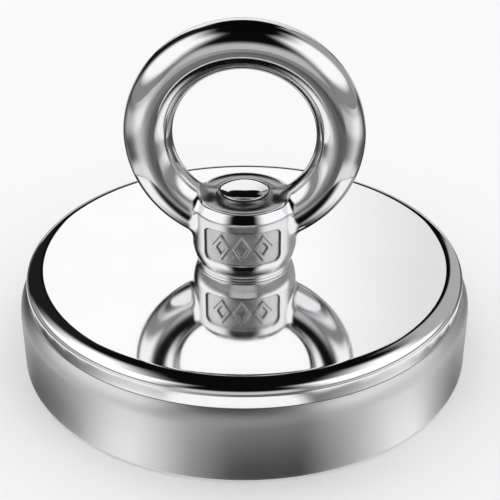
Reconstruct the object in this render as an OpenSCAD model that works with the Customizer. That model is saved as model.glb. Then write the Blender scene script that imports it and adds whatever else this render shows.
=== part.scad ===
// Magnet fishing magnet: a steel pot with a ring magnet potted into its open face,
// and a lifting eye whose stud screws down into a threaded hub at the pot's centre.
// Origin: centre of the working face, on the surface the pot stands on. +Z runs up
// through the eye, the eye's hole faces along Y and its marked side faces -Y.

/* [Pot] */
// Outer diameter of the steel pot
cup_d = 67; // [60:0.5:90]
// Height of the steel pot
cup_h = 15; // [14:0.5:20]
// Thickness of the pot's side wall
wall_t = 4.5; // [3:0.1:6]
// Thickness of the pot's closed end
plate_t = 5; // [4:0.1:6]
// Radius of the polished corner round the closed end
rim_r = 1.95; // [1.5:0.05:2.5]
// Depth of the polished part of the corner, down to the satin wall
rim_depth = 3.6; // [3:0.1:4]
// How far the satin wall stands proud of the polished corner
rim_step = 1.15; // [0.8:0.05:1.3]

/* [Magnet] */
// Gap between the magnet and the wall, filled with potting
potting_gap = 0.8; // [0.5:0.1:1.5]
// Diameter of the hole through the ring magnet
magnet_bore_d = 17; // [16.5:0.5:20]
// How far the magnet sits back from the pot's rim
face_recess = 0.3; // [0.2:0.1:0.6]

/* [Eye] */
// Diameter of the round bar that forms the ring
bar_d = 6.9; // [6:0.1:7]
// Clear diameter through the ring
eye_hole_d = 20.4; // [20:0.1:22]
// Height of the ring's centre above the pot
eye_centre_h = 19.9; // [19.5:0.1:20.5]
// Diameter of the boss under the ring
boss_d = 15.4; // [15:0.1:17]
// Height of the boss's crown above the pot
boss_h = 11.3; // [11:0.1:11.6]

/* [Thread] */
// Pitch of the stud's thread
pitch = 1.25; // [1:0.05:1.5]
// Outer diameter of the stud's thread
thread_d = 7.9; // [7.8:0.05:8]

/* [Hidden] */
$fn = 96;
eps = 0.01;

// Pot
cup_r = cup_d / 2;
rim_outer_r = cup_r - rim_step;
crease_z = cup_h - rim_depth;
shoulder_r = 3;
shoulder_centre_z = crease_z - sqrt(pow(shoulder_r, 2) - pow(shoulder_r - rim_step, 2));
foot_chamfer = 0.5;
cavity_r = cup_r - wall_t;
cavity_top_z = cup_h - plate_t;

// Hub: a knurled bush pressed up through the closed end, with a flange under it
hub_sides = 48;
hub_r = 6;
hub_flange_r = 8;
hub_flange_t = 1.5;
hub_mouth_r = 5;
hub_mouth_depth = 1;
hub_lead_r = 4.3;

// Magnet and what holds it
adhesive_t = 0.2;
magnet_r = cavity_r - potting_gap;
magnet_bore_r = magnet_bore_d / 2;
potting_recess = face_recess + 0.1;

// Washer held on the stud's plain neck
washer_r = 6.9;
washer_t = 0.5;
washer_bore_r = 3.5;
washer_edge = 0.12;

// Lifting eye, with heights counted from the closed end's outer face
bar_r = bar_d / 2;
ring_r = eye_hole_d / 2 + bar_r;
boss_r = boss_d / 2;
boss_foot_r = washer_r + 0.05;
boss_foot_h = 1.3;
shoulder_h = boss_h - 1.95;
shoulder_slope = 56;
shoulder_top_r = boss_r - (boss_h - shoulder_h) / tan(shoulder_slope);
saddle_r = 2.5;
saddle_centre_r = 5.6;
saddle_centre_z = boss_h + 1.65;
head_seat_r = 3.75;
head_seat_depth = 0.6;
panel_w = 10.8;
panel_h = 5.2;
panel_corner = 0.9;
panel_depth = 0.3;
panel_centre_h = 5.45;

// Stud: button head, plain shank through the boss, neck, then thread
shank_r = 3.2;
head_r = 3.6;
head_h = 1.3;
head_round_r = 3.6;
head_round_h = 0.65;
neck_drop = 1.6;
thread_r = thread_d / 2;
thread_turns = 8.4;
stud_tip = 0.6;
tap_r = 3.45;
tap_root_r = 4.1;
tap_turns = 13;
steps_per_turn = 20;
half_facet = 90 / steps_per_turn;
flank_play = 0.06;

// ---- shared shapes ----

// A tube, or a solid disc where the bore is 0
module ring(outer_r, bore_r, height) {
    difference() {
        cylinder(r = outer_r, h = height);
        if (bore_r > 0)
            translate([0, 0, -1]) cylinder(r = bore_r, h = height + 2);
    }
}

// A rectangle with round corners, centred
module rounded_rect(w, h, r) {
    union() {
        square([w - 2 * r, h], center = true);
        square([w, h - 2 * r], center = true);
        for (x = [-1, 1], y = [-1, 1])
            translate([x * (w / 2 - r), y * (h / 2 - r)]) circle(r = r);
    }
}

// Half the axial width of a 60 degree thread's ridge at radius r
function ridge_half(r, pitch_r) = pitch / 4 + (pitch_r - r) * tan(30);

// How far the ridge has grown at station i, from its faded ends
function grown(i, last, fade) = min(1, (i + 0.5) / fade, (last - i + 0.5) / fade);

// A right-handed helical ridge. Its foot is sunk below foot_r, so that it joins a core.
module helical_ridge(foot_r, crest_r, pitch_r, turns, play, fade) {
    sink = 0.15;
    last = round(turns * steps_per_turn);
    half_foot = ridge_half(foot_r - sink, pitch_r) - play;
    half_crest = ridge_half(crest_r, pitch_r) - play;
    points = [for (i = [0 : last])
        let (a = 360 * i / steps_per_turn,
             z = pitch * i / steps_per_turn,
             g = grown(i, last, fade),
             r = foot_r + (crest_r - foot_r) * g,
             half = half_foot + (half_crest - half_foot) * g)
        for (p = [[foot_r - sink, -half_foot], [r, -half], [r, half], [foot_r - sink, half_foot]])
            [p[0] * cos(a), p[0] * sin(a), z + p[1]]];
    sides = [for (i = [0 : last - 1], k = [0 : 3])
        [4 * i + k, 4 * i + (k + 1) % 4, 4 * (i + 1) + (k + 1) % 4, 4 * (i + 1) + k]];
    ends = [[3, 2, 1, 0], [for (k = [0 : 3]) 4 * last + k]];
    polyhedron(points = points, faces = concat(sides, ends), convexity = 10);
}

// ---- pot ----

module cup_outline() {
    difference() {
        union() {
            square([cup_r, shoulder_centre_z]);
            square([rim_outer_r, cup_h - rim_r]);
            square([rim_outer_r - rim_r, cup_h]);
            translate([cup_r - shoulder_r, shoulder_centre_z]) circle(r = shoulder_r);
            translate([rim_outer_r - rim_r, cup_h - rim_r]) circle(r = rim_r);
        }
        polygon([[cup_r - foot_chamfer, -eps], [cup_r + 1, -eps], [cup_r + 1, foot_chamfer + 1],
                 [cup_r, foot_chamfer]]);
    }
}

module steel_cup() {
    color("silver") difference() {
        rotate_extrude() cup_outline();
        translate([0, 0, -1]) cylinder(r = cavity_r, h = cavity_top_z + 1);
        cylinder(r = hub_r, h = cup_h + 1);
    }
}

module ring_magnet() {
    color("lightsteelblue") translate([0, 0, face_recess])
        ring(magnet_r, magnet_bore_r, cavity_top_z - adhesive_t - face_recess);
}

module adhesive_layer() {
    color("khaki") translate([0, 0, cavity_top_z - adhesive_t])
        ring(magnet_r, magnet_bore_r, adhesive_t);
}

module outer_potting() {
    color("dimgray") translate([0, 0, potting_recess])
        ring(cavity_r, magnet_r, cavity_top_z - potting_recess);
}

module inner_potting() {
    color("dimgray") difference() {
        translate([0, 0, potting_recess])
            ring(magnet_bore_r, hub_r, cavity_top_z - potting_recess);
        translate([0, 0, cavity_top_z - hub_flange_t])
            cylinder(r = hub_flange_r, h = hub_flange_t + 1);
    }
}

// ---- threaded joint ----

// Everything the hub loses: the tapped hole, its mouth and its lead-in
module tapped_hole() {
    mouth_z = face_recess + hub_mouth_depth;
    lead_z = cup_h - (hub_lead_r - tap_r);
    rotate([0, 0, half_facet]) rotate_extrude($fn = 2 * steps_per_turn)
        polygon([[0, 0], [hub_mouth_r, 0], [hub_mouth_r, face_recess], [tap_r, mouth_z],
                 [tap_r, lead_z], [hub_lead_r, cup_h], [hub_lead_r, cup_h + 1], [0, cup_h + 1]]);
    translate([0, 0, -pitch])
        helical_ridge(tap_r, tap_root_r, (thread_r + tap_r) / 2, tap_turns, 0, 4);
}

module threaded_hub() {
    color("gainsboro") resize([0, 0, 0]) difference() {
        rotate_extrude($fn = hub_sides)
            polygon([[0, face_recess], [hub_r, face_recess], [hub_r, cavity_top_z - hub_flange_t],
                     [hub_flange_r, cavity_top_z - hub_flange_t], [hub_flange_r, cavity_top_z],
                     [hub_r, cavity_top_z], [hub_r, cup_h], [0, cup_h]]);
        tapped_hole();
    }
}

module eye_stud() {
    thread_len = thread_turns * pitch;
    first_z = round((cup_h - neck_drop - thread_len - 0.6) / pitch) * pitch;
    tip_z = first_z - 0.5 - stud_tip;
    seat_z = cup_h + boss_h - head_seat_depth;
    top_z = seat_z + head_h;
    shank = [[0, tip_z], [shank_r - stud_tip, tip_z], [shank_r, tip_z + stud_tip], [shank_r, seat_z]];
    head = [for (a = [0 : 10 : 80])
        [head_r - head_round_r * (1 - cos(a)), top_z - head_round_h * (1 - sin(a))]];
    color("whitesmoke") resize([0, 0, 0]) union() {
        rotate([0, 0, half_facet]) rotate_extrude($fn = 2 * steps_per_turn)
            polygon(concat(shank, [[head_r, seat_z]], head, [[0, top_z]]));
        translate([0, 0, first_z])
            helical_ridge(shank_r, thread_r, (thread_r + tap_r) / 2, thread_turns, flank_play, 12);
    }
}

module captive_washer() {
    color("silver") translate([0, 0, cup_h]) rotate_extrude() difference() {
        translate([washer_bore_r, 0]) square([washer_r - washer_bore_r, washer_t]);
        for (y = [0, washer_t])
            translate([washer_r, y]) rotate(45) square(washer_edge * sqrt(2), center = true);
    }
}

// ---- lifting eye ----

// Half profile of the boss: flared foot, wall, sloped shoulder, and a saddle up to the crown
module boss_outline() {
    difference() {
        polygon([[0, washer_t], [boss_foot_r, washer_t], [boss_r, washer_t + boss_foot_h],
                 [boss_r, shoulder_h], [shoulder_top_r, boss_h], [0, boss_h]]);
        translate([saddle_centre_r, saddle_centre_z]) circle(r = saddle_r);
        square([shank_r, 2 * boss_h]);
        translate([0, boss_h - head_seat_depth]) square([head_seat_r, boss_h]);
    }
}

// The shallow panel sunk into the boss's front, left blank
module marking_panel() {
    difference() {
        translate([0, 0, panel_centre_h]) rotate([90, 0, 0])
            linear_extrude(height = 2 * boss_r) rounded_rect(panel_w, panel_h, panel_corner);
        cylinder(r = boss_r - panel_depth, h = 3 * boss_h, center = true);
    }
}

module ring_bar() {
    translate([0, 0, eye_centre_h]) rotate([90, 0, 0])
        rotate_extrude() translate([ring_r, 0]) circle(r = bar_r);
}

module lifting_eye() {
    color("silver") translate([0, 0, cup_h]) difference() {
        union() {
            rotate_extrude() boss_outline();
            difference() {
                ring_bar();
                cylinder(r = boss_r / 2, h = 2 * boss_h);
            }
        }
        marking_panel();
    }
}

steel_cup();
threaded_hub();
ring_magnet();
adhesive_layer();
outer_potting();
inner_potting();
captive_washer();
lifting_eye();
eye_stud();
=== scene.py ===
import math

import bmesh
import bpy
import numpy as np
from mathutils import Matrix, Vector


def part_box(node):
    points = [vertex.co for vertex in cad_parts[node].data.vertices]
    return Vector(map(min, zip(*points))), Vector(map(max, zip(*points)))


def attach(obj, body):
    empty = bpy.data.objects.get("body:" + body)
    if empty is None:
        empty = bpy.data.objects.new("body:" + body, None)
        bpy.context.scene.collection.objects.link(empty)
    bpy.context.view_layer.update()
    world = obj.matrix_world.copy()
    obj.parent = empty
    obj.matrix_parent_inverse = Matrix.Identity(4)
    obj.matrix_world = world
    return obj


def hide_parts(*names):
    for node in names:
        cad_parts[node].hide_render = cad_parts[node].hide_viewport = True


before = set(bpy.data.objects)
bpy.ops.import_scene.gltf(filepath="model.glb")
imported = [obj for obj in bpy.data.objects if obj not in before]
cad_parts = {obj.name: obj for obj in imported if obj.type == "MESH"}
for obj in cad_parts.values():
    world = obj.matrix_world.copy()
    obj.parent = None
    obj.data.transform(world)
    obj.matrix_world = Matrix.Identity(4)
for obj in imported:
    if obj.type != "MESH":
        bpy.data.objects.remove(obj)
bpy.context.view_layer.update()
MM = 0.001
SHARP = math.radians(38)  # edges bent more than this keep a hard line in the shading
GUARD = 0.04  # mm from a corner to the extra point that keeps a flat run's shading flat

# ---- sizes, read from the frame, in mm ----

_, CUP_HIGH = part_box("steel_cup")
_, WASHER_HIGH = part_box("captive_washer")
STUD_LOW, STUD_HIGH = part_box("eye_stud")
MAGNET_LOW, MAGNET_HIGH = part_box("ring_magnet")
POT_R = CUP_HIGH.x / MM
TOP_Z = CUP_HIGH.z / MM
WASHER_R = WASHER_HIGH.x / MM
MAGNET_R = MAGNET_HIGH.x / MM
MAGNET_FACE = MAGNET_LOW.z / MM
STUD_TOP = STUD_HIGH.z / MM
STUD_TIP = STUD_LOW.z / MM


# ---- small helpers for meshes ----

def link(obj):
    bpy.context.scene.collection.objects.link(obj)
    return obj


def fillet(points, corner, radius, steps=6):
    """The arc that rounds the corner at that index, as far as its two neighbours leave room for it."""
    a, b, c = (Vector(points[corner + k]) for k in (-1, 0, 1))
    to_a, to_c = (a - b).normalized(), (c - b).normalized()
    half = to_a.angle(to_c) / 2
    reach = min(radius / math.tan(half), 0.49 * (a - b).length, 0.49 * (c - b).length)
    radius = reach * math.tan(half)
    centre = b + (to_a + to_c).normalized() * (radius / math.sin(half))
    start, end = b + to_a * reach - centre, b + to_c * reach - centre
    sweep = start.angle(end)
    out = []
    for k in range(steps + 1):
        t = k / steps
        w0, w1 = math.sin((1 - t) * sweep), math.sin(t * sweep)
        out.append(tuple(centre + (start * w0 + end * w1) / math.sin(sweep)))
    return out


def profile(spec, steps=6):
    """A closed (r, z) outline from corners (r, z, rounding), with each round drawn out and each straight
    run given points close to its ends, so that smooth shading stays flat along it."""
    raw = [(r, z) for r, z, *_ in spec]
    n = len(raw)
    out = []
    for i, (r, z, *rest) in enumerate(spec):
        radius = rest[0] if rest else 0
        three = [raw[i - 1], raw[i], raw[(i + 1) % n]]
        out.append(fillet(three, 1, radius, steps) if radius > 0 and r > 1e-6 else [(r, z)])
    flat = []
    for i, part in enumerate(out):
        flat.extend(part)
        a, b = Vector(part[-1]), Vector(out[(i + 1) % n][0])
        run = (b - a).length
        if run > 5 * GUARD:
            d = (b - a) / run
            flat.append(tuple(a + d * GUARD))
            flat.append(tuple(b - d * GUARD))
    return flat


def lathe(name, outline, segments, materials, pick=None, thread=None, wobble=None):
    """Turns a closed (r, z) outline, in mm, about Z. pick(r, z) gives a face's material, thread(r, z, angle)
    and wobble(r, z, angle) give a point's new radius and height."""
    bm = bmesh.new()
    rings = []
    for r, z in outline:
        if r < 1e-6:
            rings.append([bm.verts.new((0, 0, z * MM))])
            continue
        ring = []
        for k in range(segments):
            a = 2 * math.pi * k / segments
            rr = thread(r, z, a) if thread else r
            zz = wobble(r, z, a) if wobble else z
            ring.append(bm.verts.new((rr * math.cos(a) * MM, rr * math.sin(a) * MM, zz * MM)))
        rings.append(ring)
    count = len(rings)
    for i in range(count):
        lo, hi = rings[i], rings[(i + 1) % count]
        if len(lo) == 1 and len(hi) == 1:
            continue
        r0, z0 = outline[i]
        r1, z1 = outline[(i + 1) % count]
        index = pick((r0 + r1) / 2, (z0 + z1) / 2) if pick else 0
        for k in range(segments):
            k1 = (k + 1) % segments
            if len(lo) == 1:
                corners = [lo[0], hi[k1], hi[k]]
            elif len(hi) == 1:
                corners = [lo[k], lo[k1], hi[0]]
            else:
                corners = [lo[k], lo[k1], hi[k1], hi[k]]
            face = bm.faces.new(corners)
            face.smooth = True
            face.material_index = index
    bmesh.ops.recalc_face_normals(bm, faces=bm.faces)
    for edge in bm.edges:
        if len(edge.link_faces) == 2 and edge.calc_face_angle() > SHARP:
            edge.smooth = False
    mesh = bpy.data.meshes.new(name)
    bm.to_mesh(mesh)
    bm.free()
    for m in materials:
        mesh.materials.append(m)
    return link(bpy.data.objects.new(name, mesh))


# ---- materials ----

class Nodes:
    """A material's node tree, with short ways to add a node and to join two."""

    def __init__(self, name):
        self.material = bpy.data.materials.new(name)
        self.material.use_nodes = True
        self.tree = self.material.node_tree
        self.shader = self.tree.nodes["Principled BSDF"]
        self.place = self.add("ShaderNodeTexCoord").outputs["Object"]

    def add(self, kind, **values):
        node = self.tree.nodes.new(kind)
        for key, value in values.items():
            setattr(node, key, value)
        return node

    def join(self, a, b):
        self.tree.links.new(a, b)

    def stretched(self, scale, turn=(0, 0, 0)):
        node = self.add("ShaderNodeMapping")
        node.inputs["Scale"].default_value = scale
        node.inputs["Rotation"].default_value = turn
        self.join(self.place, node.inputs["Vector"])
        return node.outputs["Vector"]

    def polar(self, per_turn, per_metre_r, per_metre_z):
        """Coordinates that run round the axis, outward and up, for marks left by turning or polishing."""
        split = self.add("ShaderNodeSeparateXYZ")
        self.join(self.place, split.inputs[0])
        angle = self.math("ARCTAN2", split.outputs["Y"], split.outputs["X"])
        xx = self.math("MULTIPLY", split.outputs["X"], split.outputs["X"])
        yy = self.math("MULTIPLY", split.outputs["Y"], split.outputs["Y"])
        radius = self.math("SQRT", self.math("ADD", xx, yy))
        out = self.add("ShaderNodeCombineXYZ")
        self.join(self.math("MULTIPLY", angle, per_turn), out.inputs["X"])
        self.join(self.math("MULTIPLY", radius, per_metre_r), out.inputs["Y"])
        self.join(self.math("MULTIPLY", split.outputs["Z"], per_metre_z), out.inputs["Z"])
        return out.outputs[0]

    def math(self, operation, a, b=None):
        node = self.add("ShaderNodeMath", operation=operation)
        for socket, value in zip(node.inputs, (a, b)):
            if value is None:
                continue
            if isinstance(value, (int, float)):
                socket.default_value = value
            else:
                self.join(value, socket)
        return node.outputs[0]

    def noise(self, vector, scale, detail=3.0, rough=0.5, distortion=0.0):
        node = self.add("ShaderNodeTexNoise")
        node.inputs["Scale"].default_value = scale
        node.inputs["Detail"].default_value = detail
        node.inputs["Roughness"].default_value = rough
        node.inputs["Distortion"].default_value = distortion
        self.join(vector, node.inputs["Vector"])
        return node.outputs["Fac"]

    def ramp(self, value, low, high, out_low=0.0, out_high=1.0):
        node = self.add("ShaderNodeMapRange")
        node.interpolation_type = "SMOOTHSTEP"
        for key, number in (("From Min", low), ("From Max", high),
                            ("To Min", out_low), ("To Max", out_high)):
            node.inputs[key].default_value = number
        self.join(value, node.inputs["Value"])
        return node.outputs["Result"]

    def colour(self, value, dark, light):
        node = self.add("ShaderNodeMix", data_type="RGBA")
        node.inputs["A"].default_value = (*dark, 1)
        node.inputs["B"].default_value = (*light, 1)
        self.join(value, node.inputs["Factor"])
        return node.outputs["Result"]

    def bump(self, height, distance, strength=1.0, over=None):
        node = self.add("ShaderNodeBump")
        node.inputs["Distance"].default_value = distance
        node.inputs["Strength"].default_value = strength
        self.join(height, node.inputs["Height"])
        if over is not None:
            self.join(over, node.inputs["Normal"])
        return node.outputs["Normal"]

    def scratches(self, seed, per_metre, sparse):
        """Fine straight scratches in several directions, as a height that is 0 away from them."""
        total = None
        for k in range(3):
            turn = (0.3 * k, 0.2 * seed, 0.9 * k + 0.37 * seed)
            vector = self.stretched((per_metre, per_metre * 0.025, per_metre * 0.3), turn)
            line = self.ramp(self.noise(vector, 1.0, 2.0, 0.6, 0.4), sparse, sparse + 0.05)
            total = line if total is None else self.math("MAXIMUM", total, line)
        return total


def metal(name, dark, light, rough_low, rough_high, patch_scale=90.0):
    """A metal whose colour and gloss drift slightly over its surface."""
    n = Nodes(name)
    patch = n.noise(n.place, patch_scale, 4.0, 0.55)
    n.shader.inputs["Metallic"].default_value = 1.0
    n.join(n.colour(patch, dark, light), n.shader.inputs["Base Color"])
    n.join(n.ramp(patch, 0.3, 0.7, rough_low, rough_high), n.shader.inputs["Roughness"])
    return n


def mirror_nickel():
    n = metal("mirror_nickel", (0.90, 0.90, 0.905), (0.95, 0.95, 0.95), 0.045, 0.075)
    rings = n.noise(n.polar(1.5, 5200, 2600), 1.0, 2.0)
    normal = n.bump(rings, 1.2e-6, 0.5)
    normal = n.bump(n.scratches(1, 2600, 0.72), 2e-6, 0.25, normal)
    n.join(normal, n.shader.inputs["Normal"])
    return n.material


def satin_nickel():
    n = metal("satin_nickel", (0.70, 0.70, 0.71), (0.78, 0.78, 0.785), 0.36, 0.42, 60.0)
    lines = n.noise(n.polar(3.0, 900, 9000), 1.0, 4.0, 0.65)
    n.join(n.bump(lines, 1.2e-5, 0.45), n.shader.inputs["Normal"])
    n.shader.inputs["Anisotropic"].default_value = 0.85
    n.shader.inputs["Anisotropic Rotation"].default_value = 0.25
    tangent = n.add("ShaderNodeTangent", direction_type="RADIAL", axis="Z")
    n.join(tangent.outputs[0], n.shader.inputs["Tangent"])
    return n.material


# painted shade: a very dark metal for the thin band just above the crease, standing in for the shade in the
# crease
def crease_shade_nickel():
    n = metal("crease_painted_shade_nickel", (0.16, 0.155, 0.15), (0.30, 0.295, 0.29), 0.35, 0.55, 900.0)
    n.join(n.bump(n.noise(n.place, 4000, 3.0), 1e-5, 0.4), n.shader.inputs["Normal"])
    return n.material


def crevice_shaded_and_dirty(n, dark, light, rough_low, rough_high, patch_scale):
    """Darkens and dulls a metal where the mesh's crevice attribute says other metal is close: painted shade,
    as occlusion would give there, together with dirt and polish residue.
    """
    patch = n.noise(n.place, patch_scale, 4.0, 0.55)
    read = n.add("ShaderNodeAttribute", attribute_name="crevice")
    shade_and_dirt = n.ramp(read.outputs["Fac"], 0.12, 0.75)
    mix = n.add("ShaderNodeMix", data_type="RGBA")
    # the dark colour of the painted crevice shade and the dirt in it
    mix.inputs["B"].default_value = (0.06, 0.058, 0.056, 1)
    n.join(n.colour(patch, dark, light), mix.inputs["A"])
    n.join(n.math("MULTIPLY", shade_and_dirt, 0.6), mix.inputs["Factor"])
    n.join(mix.outputs["Result"], n.shader.inputs["Base Color"])
    gloss = n.ramp(patch, 0.3, 0.7, rough_low, rough_high)
    n.join(n.math("ADD", gloss, n.math("MULTIPLY", shade_and_dirt, 0.25)), n.shader.inputs["Roughness"])
    n.shader.inputs["Metallic"].default_value = 1.0
    return n


def polished_cast():
    n = crevice_shaded_and_dirty(Nodes("polished_cast_stainless"), (0.70, 0.70, 0.72), (0.80, 0.80, 0.81), 0.05, 0.10, 120.0)
    peel = n.noise(n.place, 420, 3.0, 0.5)
    normal = n.bump(peel, 1.4e-5, 0.25)
    normal = n.bump(n.scratches(2, 3000, 0.70), 3e-6, 0.3, normal)
    n.join(normal, n.shader.inputs["Normal"])
    return n.material


def cast_panel():
    n = crevice_shaded_and_dirty(Nodes("cast_panel_stainless"), (0.50, 0.50, 0.505), (0.68, 0.68, 0.685), 0.28, 0.42, 700.0)
    grain = n.noise(n.place, 2600, 5.0, 0.65)
    pits = n.ramp(n.noise(n.place, 1500, 2.0), 0.30, 0.42)
    normal = n.bump(grain, 6e-5, 0.5)
    normal = n.bump(pits, 5e-5, 0.35, normal)
    n.join(normal, n.shader.inputs["Normal"])
    return n.material


def satin_cast():
    n = crevice_shaded_and_dirty(Nodes("satin_cast_stainless"), (0.66, 0.66, 0.67), (0.76, 0.76, 0.77), 0.16, 0.22, 300.0)
    rub = n.noise(n.polar(6.0, 3000, 12000), 1.0, 3.0, 0.6)
    normal = n.bump(rub, 4e-6, 0.5)
    normal = n.bump(n.noise(n.place, 700, 3.0), 1e-5, 0.3, normal)
    n.join(normal, n.shader.inputs["Normal"])
    return n.material


# painted shade: the saddle-shaped hollow under the crown gets a much darker metal, standing in for the shade
# that falls in it
def shaded_hollow_cast():
    n = crevice_shaded_and_dirty(Nodes("painted_shade_hollow_stainless"), (0.30, 0.295, 0.30), (0.44, 0.435, 0.44), 0.20, 0.30, 240.0)
    n.join(n.bump(n.noise(n.place, 900, 4.0), 2e-5, 0.4), n.shader.inputs["Normal"])
    return n.material


def bright_stud():
    n = metal("bright_stud_stainless", (0.80, 0.80, 0.81), (0.88, 0.88, 0.885), 0.05, 0.09, 200.0)
    rings = n.noise(n.polar(1.0, 7000, 4000), 1.0, 3.0)
    normal = n.bump(rings, 3e-6, 0.5)
    normal = n.bump(n.scratches(3, 3500, 0.70), 3e-6, 0.3, normal)
    n.join(normal, n.shader.inputs["Normal"])
    return n.material


def cut_thread():
    n = metal("cut_thread_stainless", (0.58, 0.57, 0.56), (0.74, 0.73, 0.72), 0.18, 0.30, 260.0)
    tool = n.noise(n.polar(6.0, 3000, 16000), 1.0, 3.0, 0.6)
    n.join(n.bump(tool, 1.2e-5, 0.5), n.shader.inputs["Normal"])
    return n.material


def washer_steel():
    n = metal("stamped_washer_stainless", (0.72, 0.72, 0.73), (0.84, 0.84, 0.845), 0.10, 0.16, 300.0)
    normal = n.bump(n.scratches(4, 3200, 0.66), 3e-6, 0.4)
    n.join(normal, n.shader.inputs["Normal"])
    return n.material


def turned_steel():
    n = metal("turned_nickel_plated_steel", (0.60, 0.59, 0.575), (0.74, 0.73, 0.71), 0.20, 0.32, 180.0)
    tool = n.noise(n.polar(2.0, 8000, 8000), 1.0, 3.0, 0.6)
    n.join(n.bump(tool, 1e-5, 0.5), n.shader.inputs["Normal"])
    return n.material


def plated_magnet():
    n = metal("nickel_plated_magnet", (0.58, 0.575, 0.56), (0.74, 0.735, 0.72), 0.16, 0.30, 70.0)
    scuffs = n.scratches(5, 1500, 0.64)
    grain = n.noise(n.place, 2200, 3.0)
    normal = n.bump(grain, 1.2e-5, 0.35)
    normal = n.bump(scuffs, 8e-6, 0.5, normal)
    n.join(normal, n.shader.inputs["Normal"])
    return n.material


def potting_resin():
    n = Nodes("potting_resin")
    patch = n.noise(n.place, 160, 4.0, 0.6)
    dust = n.ramp(n.noise(n.place, 1800, 2.0), 0.62, 0.72)
    body = n.colour(patch, (0.012, 0.012, 0.013), (0.030, 0.030, 0.032))
    mix = n.add("ShaderNodeMix", data_type="RGBA")
    mix.inputs["B"].default_value = (0.16, 0.16, 0.155, 1)
    n.join(body, mix.inputs["A"])
    n.join(n.math("MULTIPLY", dust, 0.5), mix.inputs["Factor"])
    n.join(mix.outputs["Result"], n.shader.inputs["Base Color"])
    n.join(n.ramp(patch, 0.3, 0.7, 0.22, 0.42), n.shader.inputs["Roughness"])
    bubbles = n.ramp(n.noise(n.place, 900, 1.0), 0.60, 0.75)
    n.join(n.bump(bubbles, 4e-5, 0.4), n.shader.inputs["Normal"])
    return n.material


def adhesive_film():
    n = Nodes("adhesive_film")
    patch = n.noise(n.place, 300, 4.0, 0.6)
    n.join(n.colour(patch, (0.42, 0.37, 0.20), (0.55, 0.50, 0.30)), n.shader.inputs["Base Color"])
    n.join(n.ramp(patch, 0.3, 0.7, 0.3, 0.5), n.shader.inputs["Roughness"])
    n.join(n.bump(patch, 3e-5, 0.4), n.shader.inputs["Normal"])
    return n.material


def studio_floor():
    n = Nodes("studio_floor")
    soft = n.noise(n.place, 6.0, 2.0)
    n.join(n.colour(soft, (0.93, 0.93, 0.93), (0.945, 0.945, 0.945)), n.shader.inputs["Base Color"])
    n.join(n.ramp(soft, 0.2, 0.8, 0.85, 0.95), n.shader.inputs["Roughness"])
    n.shader.inputs["Specular IOR Level"].default_value = 0.0
    return n.material


def glow_material(name):
    """Gives off as much as the mesh's own glow attribute says."""
    material = bpy.data.materials.new(name)
    material.use_nodes = True
    tree = material.node_tree
    tree.nodes.remove(tree.nodes["Principled BSDF"])
    give = tree.nodes.new("ShaderNodeEmission")
    read = tree.nodes.new("ShaderNodeAttribute")
    read.attribute_name = "glow"
    tree.links.new(read.outputs["Color"], give.inputs["Color"])
    tree.links.new(give.outputs[0], tree.nodes["Material Output"].inputs["Surface"])
    return material


MIRROR = mirror_nickel()
SATIN = satin_nickel()
CREASE_SHADE = crease_shade_nickel()
CAST = polished_cast()
PANEL = cast_panel()
SATIN_CAST = satin_cast()
SHADED_HOLLOW_CAST = shaded_hollow_cast()
STUD = bright_stud()
THREAD = cut_thread()
WASHER = washer_steel()
TURNED = turned_steel()
MAGNET = plated_magnet()
RESIN = potting_resin()
ADHESIVE = adhesive_film()


def finish_piece(obj, body, node):
    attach(obj, body)
    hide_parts(node)
    return obj


# ---- pot ----

# The polished rim slopes off the top over RIM_RUN, with a wide round above and a tighter one at its side.
# It ends in a crease RIM_DEPTH below the top, where the satin wall's round shoulder starts, and the wall
# itself is RIM_STEP further out.
RIM_TOP_R, RIM_SIDE_R, RIM_SLOPE, RIM_RUN = 3.4, 1.3, math.radians(30), 1.7
RIM_STEP, RIM_DEPTH = 1.15, 3.6
RIM_OUTER = POT_R - RIM_STEP
# height of the painted-shade band just above the crease
CREASE_SHADE_H = 0.15
CAVITY_R, CAVITY_TOP, HUB_R = 29.0, 10.0, 6.0
SHOULDER_R = 3.0
SHOULDER_Z = TOP_Z - RIM_DEPTH - math.sqrt(SHOULDER_R ** 2 - (SHOULDER_R - RIM_STEP) ** 2)


def arc(cx, cz, radius, start, end, steps):
    """Points along an arc in (r, z), angles in degrees from +r towards +z."""
    out = []
    for k in range(steps + 1):
        a = math.radians(start + (end - start) * k / steps)
        out.append((cx + radius * math.cos(a), cz + radius * math.sin(a)))
    return out


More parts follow.
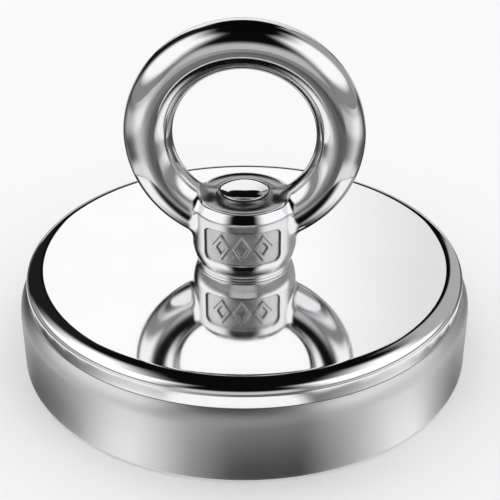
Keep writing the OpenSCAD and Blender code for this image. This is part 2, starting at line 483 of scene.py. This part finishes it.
def cup_profile():
    crease = TOP_Z - RIM_DEPTH
    corner_in = (RIM_OUTER - RIM_RUN, TOP_Z)
    corner_out = (RIM_OUTER, TOP_Z - RIM_RUN * math.tan(RIM_SLOPE))
    bend = [(RIM_OUTER - RIM_RUN - 5, TOP_Z), corner_in, corner_out, (RIM_OUTER, crease)]
    top = fillet(bend, 1, RIM_TOP_R, 16) + fillet(bend, 2, RIM_SIDE_R, 20)
    shoulder_start = math.degrees(math.acos(1 - RIM_STEP / SHOULDER_R))
    shoulder = arc(POT_R - SHOULDER_R, SHOULDER_Z, SHOULDER_R, shoulder_start, 0, 14)
    foot = 0.5  # the bevel round the open end
    return ([(HUB_R, TOP_Z), (HUB_R + 0.05, TOP_Z), (top[0][0] - 0.03, TOP_Z)] + top
            + [(RIM_OUTER, top[-1][1] - 0.05), (RIM_OUTER, crease + CREASE_SHADE_H), (RIM_OUTER, crease + 0.02)]
            + shoulder
            + [(POT_R, SHOULDER_Z - 0.05), (POT_R, foot + 0.12), (POT_R - 0.03, foot + 0.03),
               (POT_R - foot + 0.03, 0.03), (POT_R - foot - 0.1, 0),
               (CAVITY_R + 0.3, 0), (CAVITY_R + 0.12, 0.03), (CAVITY_R + 0.03, 0.1), (CAVITY_R, 0.25),
               (CAVITY_R, 0.3), (CAVITY_R, CAVITY_TOP - 0.04), (CAVITY_R, CAVITY_TOP),
               (CAVITY_R - 0.04, CAVITY_TOP), (HUB_R + 0.04, CAVITY_TOP), (HUB_R, CAVITY_TOP),
               (HUB_R, CAVITY_TOP + 0.04), (HUB_R, TOP_Z - 0.04)])


def cup_material(r, z):
    """0 mirror, 1 satin, 2 the dark line just above the crease, a band of painted shade."""
    above = z - (TOP_Z - RIM_DEPTH)
    if r < HUB_R + 0.001 or above < 0.001:
        return 1
    return 2 if above < CREASE_SHADE_H and r > RIM_OUTER - 0.01 else 0


cup = lathe("pot_shell", cup_profile(), 384, [MIRROR, SATIN, CREASE_SHADE], cup_material)
finish_piece(cup, "pot", "steel_cup")


# ---- threads ----

PITCH = 1.25


def ridge(phase):
    """A 60 degree thread's height, from 0 to 1, at a phase from 0 to 1, with a flat root and crest."""
    d = abs(phase - 0.5) * 2
    x = min(1.0, max(0.0, (0.86 - d) / 0.62))
    return x * x * (3 - 2 * x) * 0.35 + x * 0.65


def threaded(foot, crest, low, high, fade):
    """Radius of a right-handed thread between two heights, faded out at both."""
    def radius(r, z, angle):
        if abs(r - foot) > 0.02 or not low - 0.5 < z < high + 0.5:
            return r
        grown = min(1.0, max(0.0, (z - low) / fade), max(0.0, (high - z) / fade))
        phase = (z / PITCH - angle / (2 * math.pi)) % 1.0
        return foot + (crest - foot) * grown * ridge(phase)
    return radius


def climb(r, low, high, step):
    """Closely spaced points up a cylinder, for a thread to be raised on."""
    count = max(2, int(round((high - low) / step)))
    return [(r, low + (high - low) * k / count) for k in range(count + 1)]


HUB_FOOT = 0.3
TAP_R, TAP_ROOT_R = 3.45, 4.08
FLANGE_R, FLANGE_LOW = 8.0, 8.5
MOUTH_Z = TOP_Z - 0.85  # where the chamfer at the bush's mouth meets the bore
hub_profile = (
    [(4.3, TOP_Z - 0.02), (4.36, TOP_Z), (HUB_R - 0.12, TOP_Z), (HUB_R - 0.02, TOP_Z - 0.08),
     (HUB_R, TOP_Z - 0.2), (HUB_R, CAVITY_TOP), (FLANGE_R - 0.04, CAVITY_TOP),
     (FLANGE_R, CAVITY_TOP - 0.04), (FLANGE_R, FLANGE_LOW + 0.04), (FLANGE_R - 0.04, FLANGE_LOW),
     (HUB_R, FLANGE_LOW), (HUB_R, HUB_FOOT + 0.15), (HUB_R - 0.05, HUB_FOOT + 0.04),
     (HUB_R - 0.15, HUB_FOOT), (5.08, HUB_FOOT), (5.0, HUB_FOOT + 0.03), (4.95, HUB_FOOT + 0.08),
     (TAP_R + 0.05, HUB_FOOT + 0.97)]
    + climb(TAP_R, HUB_FOOT + 1.02, MOUTH_Z + 0.78, 0.07))
tapped = threaded(TAP_R, TAP_ROOT_R, 0.9, TOP_Z + 1, 0.5)


def bush_bore(r, z, angle):
    """The tapped bore, with its thread running out through the chamfer at the bush's mouth."""
    return max(tapped(r, z, angle), TAP_R + z - MOUTH_Z) if abs(r - TAP_R) < 0.02 else r


hub = lathe("threaded_bush", hub_profile, 112, [TURNED], thread=bush_bore)
finish_piece(hub, "pot", "threaded_hub")

SHANK_R, CREST_R = 3.2, 3.93
THREAD_LOW, THREAD_HIGH = 1.9, 13.3
HEAD_R = 3.54
HEAD_LOW, CAP_LOW = STUD_TOP - 1.3, STUD_TOP - 0.66
cap = [(3.5 * t, STUD_TOP - 0.62 * t ** 3) for t in np.linspace(1.0, 0.0, 24)]
stud_profile = (
    [(0, STUD_TIP), (2.3, STUD_TIP), (2.55, STUD_TIP + 0.03), (3.12, STUD_TIP + 0.58)]
    + climb(SHANK_R, STUD_TIP + 0.7, TOP_Z - 1.0, 0.07)
    + [(SHANK_R, TOP_Z - 0.9), (SHANK_R, HEAD_LOW - 0.04), (SHANK_R, HEAD_LOW), (3.26, HEAD_LOW),
       (3.48, HEAD_LOW), (HEAD_R, HEAD_LOW + 0.06), (HEAD_R, HEAD_LOW + 0.1), (HEAD_R, CAP_LOW - 0.12),
       (3.536, CAP_LOW - 0.06), (3.525, CAP_LOW), (3.515, CAP_LOW + 0.025)]
    + cap[:-1] + [(0, STUD_TOP)])
stud = lathe("stud", stud_profile, 112, [STUD, THREAD],
             lambda r, z: 1 if z < TOP_Z - 1.2 else 0,
             threaded(SHANK_R, CREST_R, THREAD_LOW, THREAD_HIGH, 0.9))
finish_piece(stud, "eye", "eye_stud")

# ---- washer ----

WASHER_BORE_R, WASHER_T = 3.5, 0.5
washer_profile = profile([(WASHER_BORE_R, TOP_Z, 0.08), (WASHER_R, TOP_Z, 0.12),
                          (WASHER_R, TOP_Z + WASHER_T, 0.16), (WASHER_BORE_R, TOP_Z + WASHER_T, 0.08)], 5)
washer = lathe("stamped_washer", washer_profile, 192, [WASHER])
finish_piece(washer, "washer", "captive_washer")

# ---- magnet and resin, seen from below ----

MAGNET_BORE_R, MAGNET_TOP = 8.5, 9.8
RESIN_FACE = 0.4
magnet_profile = profile([(MAGNET_BORE_R, MAGNET_TOP, 0.2), (MAGNET_BORE_R, MAGNET_FACE, 0.35),
                          (MAGNET_R, MAGNET_FACE, 0.45), (MAGNET_R, MAGNET_TOP, 0.3)], 6)
magnet = lathe("plated_ring_magnet", magnet_profile, 256, [MAGNET])
finish_piece(magnet, "pot", "ring_magnet")


def resin_ring(name, inner, outer, low, high, seed):
    """Poured resin that creeps up the metal on both sides and sinks a little, unevenly, between them."""
    rng = np.random.default_rng(seed)
    waves = [(int(rng.integers(2, 14)), rng.uniform(0, 6.28), rng.uniform(0.01, 0.03))
             for _ in range(7)]
    across = np.linspace(0, 1, 15)
    face = [(inner + (outer - inner) * t, low) for t in across]

    def height(r, z, angle):
        if z > low + 0.01:
            return z
        t = (r - inner) / (outer - inner)
        dish = 4 * t * (1 - t)
        uneven = sum(size * math.sin(k * angle + start) for k, start, size in waves)
        return low + 0.16 * dish ** 0.6 + dish * uneven
    outline = face + [(outer, high), (inner, high)]
    return lathe(name, outline, 256, [RESIN], wobble=height)


outer_resin = resin_ring("outer_resin", MAGNET_R, CAVITY_R, RESIN_FACE, CAVITY_TOP, 11)
finish_piece(outer_resin, "pot", "outer_potting")
inner_resin = resin_ring("inner_resin", HUB_R, MAGNET_BORE_R, RESIN_FACE, FLANGE_LOW, 12)
finish_piece(inner_resin, "pot", "inner_potting")

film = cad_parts["adhesive_layer"]
film.data.materials.clear()
film.data.materials.append(ADHESIVE)

# ---- lifting eye: one cast surface, found from distances to its shapes ----

RING_R, BAR_R, RING_H = 13.65, 3.45, 19.9
BOSS_R, SHOULDER_H, BOSS_H = 7.7, 9.35, 11.3
SLOPE = math.radians(56)
SADDLE_R, SADDLE_CR, SADDLE_Z = 2.5, 5.6, 12.95
SEAT_R, SEAT_DEPTH = 3.75, 0.6
RING_CLEAR_R = 3.9  # inside this, and below the crown, the ring's bar is left out for the stud
PANEL_W, PANEL_H, PANEL_Z, PANEL_CORNER, PANEL_DEPTH = 5.4, 2.6, 5.45, 0.9, 0.3
FOOT_TOP = 1.8
CREVICE = 0.2  # how far off the surface the crevice attribute looks for other metal; the attribute drives painted shade in crevices
GRID = 0.15

MARK_CENTRES, MARK_W, MARK_H, MARK_SLOPE = (-3.0, 0.0, 3.0), 1.3, 2.0, 1.09


def soft_min(a, b, k):
    h = np.clip(0.5 + 0.5 * (b - a) / k, 0, 1)
    return b + (a - b) * h - k * h * (1 - h)


def soft_max(a, b, k):
    return -soft_min(-a, -b, k)


def rounded_box(x, z, half_w, half_h, corner):
    qx, qz = np.abs(x) - half_w + corner, np.abs(z) - half_h + corner
    return np.hypot(np.maximum(qx, 0), np.maximum(qz, 0)) + np.minimum(np.maximum(qx, qz), 0) - corner


def eye_distance(p):
    """Signed distance, near enough, to the cast eye. p is in mm, with z counted from the pot's top."""
    x, y, z = p[..., 0], p[..., 1], p[..., 2]
    r = np.hypot(x, y)
    below_crown = z < BOSS_H + 2
    # the foot flares outward, 30 degrees off upright
    foot = (r - BOSS_R) * 0.866 + (FOOT_TOP - z) * 0.5
    slope = (r - BOSS_R) * math.sin(SLOPE) + (z - SHOULDER_H) * math.cos(SLOPE)
    hollow = SADDLE_R - np.hypot(r - SADDLE_CR, z - SADDLE_Z)
    body = soft_max(soft_max(r - BOSS_R, slope, 0.12), foot, 0.9)
    body = soft_max(body, WASHER_T - z, 0.22)
    boss = soft_max(soft_max(body, hollow, 0.35), z - BOSS_H, 0.1)
    ring = np.hypot(np.hypot(x, z - RING_H) - RING_R, y) - BAR_R
    ring = np.maximum(ring, np.where(below_crown, RING_CLEAR_R - r, -9.0))
    solid = soft_min(boss, ring, 0.95)
    solid = np.maximum(solid, np.where(below_crown, SHANK_R - r, -9.0))
    seat = np.maximum(np.maximum(r - SEAT_R, BOSS_H - SEAT_DEPTH - z), z - BOSS_H - 2)
    solid = soft_max(solid, -seat, 0.12)
    panel = rounded_box(x, z - PANEL_Z, PANEL_W, PANEL_H, PANEL_CORNER)
    cut = soft_max(np.maximum(panel, y), BOSS_R - PANEL_DEPTH - r, 0.16)
    solid = soft_max(solid, -cut, 0.18)
    for centre in MARK_CENTRES:
        lozenge = (np.abs(x - centre) / MARK_W + np.abs(z - PANEL_Z) / MARK_H - 1) * MARK_SLOPE
        mark = np.maximum(np.maximum(lozenge, y), (BOSS_R - 1.0) - r)
        mark = soft_max(mark, r - (BOSS_R - 0.04), 0.12)
        dimple = np.maximum(lozenge + 0.52, (BOSS_R - PANEL_DEPTH) - r)
        solid = soft_min(solid, soft_max(mark, -dimple, 0.1), 0.1)
    return solid


def surface_nets(distance, low, high, step):
    """Vertices and quads of a surface where a distance is 0, each vertex at the centre of its cell."""
    axes = [np.arange(a, b + step, step) for a, b in zip(low, high)]
    grid = np.stack(np.meshgrid(*axes, indexing="ij"), -1)
    value = distance(grid)
    inside = value < 0
    corner = [inside[i:inside.shape[0] - 1 + i, j:inside.shape[1] - 1 + j, k:inside.shape[2] - 1 + k]
              for i in (0, 1) for j in (0, 1) for k in (0, 1)]
    filled = sum(c.astype(np.int8) for c in corner)
    cells = (filled > 0) & (filled < 8)
    number = np.full(cells.shape, -1, np.int64)
    number[cells] = np.arange(cells.sum())
    points = np.stack(np.nonzero(cells), -1) * step + np.array([a[0] for a in axes]) + step / 2
    quads = []
    for axis in range(3):
        a = np.take(inside, range(inside.shape[axis] - 1), axis)
        b = np.take(inside, range(1, inside.shape[axis]), axis)
        others = [k for k in range(3) if k != axis]
        where = np.stack(np.nonzero(a != b), -1)
        keep = (where[:, others[0]] > 0) & (where[:, others[1]] > 0)
        where = where[keep]
        starts_in = a[tuple(where.T)]
        around = []
        for d0, d1 in ((1, 1), (0, 1), (0, 0), (1, 0)):
            cell = where.copy()
            cell[:, others[0]] -= d0
            cell[:, others[1]] -= d1
            around.append(number[tuple(cell.T)])
        quad = np.stack(around, -1)
        flip = starts_in if axis != 1 else ~starts_in
        quad[~flip] = quad[~flip][:, ::-1]
        quads.append(quad)
    return points, np.concatenate(quads)


def gradient(distance, p, h):
    out = np.empty_like(p)
    for k in range(3):
        e = np.zeros(3)
        e[k] = h
        out[:, k] = (distance(p + e) - distance(p - e)) / (2 * h)
    return out


def cast_eye():
    points, quads = surface_nets(eye_distance, (-17.5, -8.1, 0.1), (17.5, 8.1, 37.5), GRID)
    for _ in range(5):
        g = gradient(eye_distance, points, 0.01)
        points -= (eye_distance(points) / np.maximum((g ** 2).sum(-1), 0.2))[:, None] * g
    g = gradient(eye_distance, points, 0.02)
    normals = g / np.linalg.norm(g, axis=1)[:, None]
    mesh = bpy.data.meshes.new("cast_eye")
    real = points * MM + np.array([0, 0, TOP_Z * MM])
    mesh.from_pydata(real.tolist(), [], quads.tolist())
    mesh.validate()
    for material in (CAST, PANEL, SATIN_CAST, SHADED_HOLLOW_CAST):
        mesh.materials.append(material)
    x, y, z = points[quads].mean(1).T
    out = np.hypot(x, y)
    in_panel = ((rounded_box(x, z - PANEL_Z, PANEL_W, PANEL_H, PANEL_CORNER) < -0.05)
                & (y < -4) & (out < BOSS_R - 0.02))
    # the hollow's faces take the darker metal that paints its shade
    in_hollow = ((out > SEAT_R + 0.1) & (out < 6.45) & (z > 10.3)
                 & (np.hypot(out - SADDLE_CR, z - SADDLE_Z) < SADDLE_R + 0.06))
    on_wall = (out > BOSS_R - 0.05) & (out < BOSS_R + 0.02) & (z < SHOULDER_H - 0.1)
    on_foot = (out > BOSS_R - 0.9) & (z < FOOT_TOP + 0.1)
    index = np.where(in_panel, 1, np.where(on_wall | on_foot, 2, np.where(in_hollow, 3, 0)))
    mesh.polygons.foreach_set("material_index", index.astype(np.int32))
    # crevice: near 1 where other metal or the stud head lies within CREVICE off the surface; the materials
    # paint shade there, along with dirt
    reached = points + normals * CREVICE
    head = np.maximum(np.hypot(reached[:, 0], reached[:, 1]) - HEAD_R,
                      np.abs(reached[:, 2] - BOSS_H) - 0.7)
    away = np.clip(np.minimum(eye_distance(reached), head) / CREVICE, 0, 1)
    crevice = mesh.attributes.new("crevice", "FLOAT", "POINT")
    crevice.data.foreach_set("value", (1 - away).astype(np.float32))
    mesh.polygons.foreach_set("use_smooth", np.ones(len(quads), bool))
    mesh.normals_split_custom_set_from_vertices(normals.tolist())
    mesh.update()
    return link(bpy.data.objects.new("cast_eye", mesh))


eye = cast_eye()
finish_piece(eye, "eye", "lifting_eye")

# ---- camera ----

camera_data = bpy.data.cameras.new("camera")
camera_data.sensor_width = 36
camera_data.lens = 87.97
camera = link(bpy.data.objects.new("camera", camera_data))
camera.location = (0.00822, -0.15684, 0.10788)
camera_target = Vector((0.00081, 0.0, 0.01612))
camera.rotation_euler = (camera_target - camera.location).to_track_quat("-Z", "Y").to_euler()
bpy.context.scene.camera = camera

# ---- studio ----

FLAG = 0.003  # what a black flag still gives off


def smooth(t):
    t = min(1.0, max(0.0, t))
    return t * t * (3 - 2 * t)


def plateau(value, low, high, soft_low, soft_high):
    """1 between two numbers, easing to 0 outside them over the soft widths."""
    return smooth((value - low + soft_low) / soft_low) * smooth((high + soft_high - value) / soft_high)


def lattice(columns, rows, closed):
    """The quads between points laid out row by row. A closed lattice joins its last column to its first."""
    width = columns if closed else columns + 1
    quads = []
    for j in range(rows):
        for i in range(columns):
            right = (i + 1) % width
            quads.append((j * width + i, j * width + right, (j + 1) * width + right, (j + 1) * width + i))
    return quads


def glow_mesh(name, points, quads, glow):
    """A stage piece that only reflections see."""
    mesh = bpy.data.meshes.new(name)
    mesh.from_pydata(points, [], quads)
    attribute = mesh.color_attributes.new("glow", "FLOAT_COLOR", "POINT")
    attribute.data.foreach_set("color", [c for g in glow for c in (g, g, g, 1.0)])
    mesh.materials.append(glow_material(name))
    obj = link(bpy.data.objects.new(name, mesh))
    obj.visible_camera = False
    obj.visible_diffuse = False
    obj.visible_shadow = False
    return obj


def dome_glow(azimuth, elevation):
    """Studio brightness by direction. Azimuth is in degrees clockwise from +Y seen from above, 0 behind the
    object, so +X is 90 and the front is 180."""
    a = (azimuth + 180) % 360 - 180
    off = abs(a)
    # big soft boxes at both sides, a low band under them, a front fill, and a strip on each side behind
    boxes = 1.25 * plateau(off, 78, 128, 26, 28) * plateau(elevation, 20, 50, 14, 22)
    horizon = 0.3 * plateau(off, 62, 140, 10, 20) * plateau(elevation, -12, 20, 4, 6)
    front = 0.6 * smooth((off - 140) / 20) * plateau(elevation, 0, 16, 5, 20)
    right_back = 0.42 * plateau(a, 26, 60, 3, 14) * plateau(elevation, -20, 44, 4, 12)
    left_back = 0.012 * plateau(-a, 26, 60, 3, 14) * plateau(elevation, -20, 44, 4, 12)
    return max(boxes, horizon, front, right_back, left_back, FLAG)


def back_card():
    """The white card behind the object. It stands close, so that what is low sees less of it."""
    radius, points, glow = 0.108, [], []
    columns, rows = 126, 60
    for j in range(rows + 1):
        z = 20 + 102 * j / rows
        for i in range(columns + 1):
            a = -34 + 63 * i / columns
            points.append((radius * math.sin(math.radians(a)), radius * math.cos(math.radians(a)), z * MM))
            level = 1.04 - 0.24 * smooth((a - 2) / 22)
            glow.append(level * plateau(a, -30.5, 25.5, 1.0, 1.0) * plateau(z, 45, 118, 3, 2))
    return glow_mesh("back_card", points, lattice(columns, rows, False), glow)


def studio_dome():
    """A dome of soft boxes and black flags, far out."""
    radius, points, glow = 0.6, [], []
    columns, rows = 240, 100
    for j in range(rows + 1):
        elevation = -12 + 102 * j / rows
        for i in range(columns):
            azimuth = 360 * i / columns
            a, e = math.radians(azimuth), math.radians(elevation)
            across = radius * math.cos(e)
            points.append((across * math.sin(a), across * math.cos(a), radius * math.sin(e)))
            glow.append(dome_glow(azimuth, elevation))
    return glow_mesh("softbox_dome", points, lattice(columns, rows, True), glow)


# How bright the table looks in the wall, by the wall's angle in degrees from the front, + to the right
WALL_LEVELS = ((-88, 0.4), (-79, 0.9), (-63, 0.03), (-50, 0.12), (-42, 0.36), (-32, 1.05), (-25, 1.2),
               (-18, 0.9), (-10, 0.38), (0, 0.03), (6, 0), (16, 0.02), (28, 0.5), (40, 1.15), (48, 1.25),
               (56, 0.5), (67, 0.05), (75, 0.4), (88, 0.5))


def wall_view(turn, radius):
    """The wall's angle from the front, and the distance from the wall, of a table point mirrored forward."""
    angle, seen = abs(math.radians(turn)), 0.0
    for _ in range(40):
        sine = min(1.0, POT_R * math.sin(seen) / radius)
        seen = min((angle + math.asin(sine)) / 2, math.radians(88))
    across = POT_R * math.sin(seen)
    reach = math.sqrt(max(radius ** 2 - across ** 2, 0.0)) - POT_R * math.cos(seen)
    return math.copysign(math.degrees(seen), turn), max(reach, 0.0)


def table_glow(azimuth, radius):
    """Table brightness seen in the metal, by direction and distance in mm from the axis."""
    turn = (360 - azimuth) % 360 - 180
    angle, reach = wall_view(turn, radius)
    near = float(np.interp(angle, *zip(*WALL_LEVELS)))
    front = 1 - smooth((abs(angle) - 15) / 6)
    behind = smooth((abs(turn) - 100) / 30)
    side = (1 - front) * (1 - behind)
    beyond = 0.08 + 0.5 * near * (1 - behind)
    beyond += side * (0.4 * smooth((reach - 60) / 40) - 0.3 * smooth((radius - 180) / 120))
    beyond += front * (0.06 * plateau(reach, 27, 60, 8, 16) + 0.2 * smooth((radius - 110) / 60))
    beyond += 0.6 * behind * smooth((radius - 84) / 20) * smooth((abs(turn) - 135) / 15)
    glow = near + (beyond - near) * smooth((reach - 12) / 3)
    white = front * plateau(reach, 13.5, 17.6 - 2.5 * (angle / 15) ** 2, 1.5, 2.5)
    white += 0.85 * side * plateau(reach, 16.6, 26, 0.6, 14)
    return glow + max(0.0, 1.0 - glow) * min(1.0, white)


def table_reflection():
    points, glow = [], []
    radii = [33.6 + k * 1.2 for k in range(60)] + [110, 130, 160, 200, 300, 600]
    columns = 180
    for radius in radii:
        for i in range(columns):
            a = 2 * math.pi * i / columns
            points.append((radius * MM * math.sin(a), radius * MM * math.cos(a), 0.0002))
            glow.append(table_glow(math.degrees(a), radius))
    return glow_mesh("table_seen_in_metal", points, lattice(columns, len(radii) - 1, True), glow)


def plain_floor():
    half = 20.0
    corners = [(-half, -half, 0), (half, -half, 0), (half, half, 0), (-half, half, 0)]
    mesh = bpy.data.meshes.new("floor")
    mesh.from_pydata(corners, [], [(0, 1, 2, 3)])
    mesh.materials.append(studio_floor())
    floor = link(bpy.data.objects.new("floor", mesh))
    floor.location.z = -5e-5
    floor.visible_glossy = False


def area_light(name, place, size, power):
    data = bpy.data.lights.new(name, "AREA")
    data.size = size
    data.energy = power
    obj = link(bpy.data.objects.new(name, data))
    obj.location = place
    obj.rotation_euler = (Vector((0, 0, 0.01)) - Vector(place)).to_track_quat("-Z", "Y").to_euler()
    obj.visible_glossy = False


def set_world(level):
    world = bpy.data.worlds.new("studio")
    world.use_nodes = True
    background = world.node_tree.nodes["Background"]
    background.inputs["Color"].default_value = (1, 1, 1, 1)
    background.inputs["Strength"].default_value = level
    bpy.context.scene.world = world


studio_dome()
back_card()
table_reflection()
plain_floor()
set_world(0.93)
area_light("key", (0.15, -0.2, 0.6), 0.6, 0.4)
area_light("fill", (-0.4, 0.3, 0.5), 0.6, 0.2)
bpy.context.scene.view_settings.view_transform = "Standard"
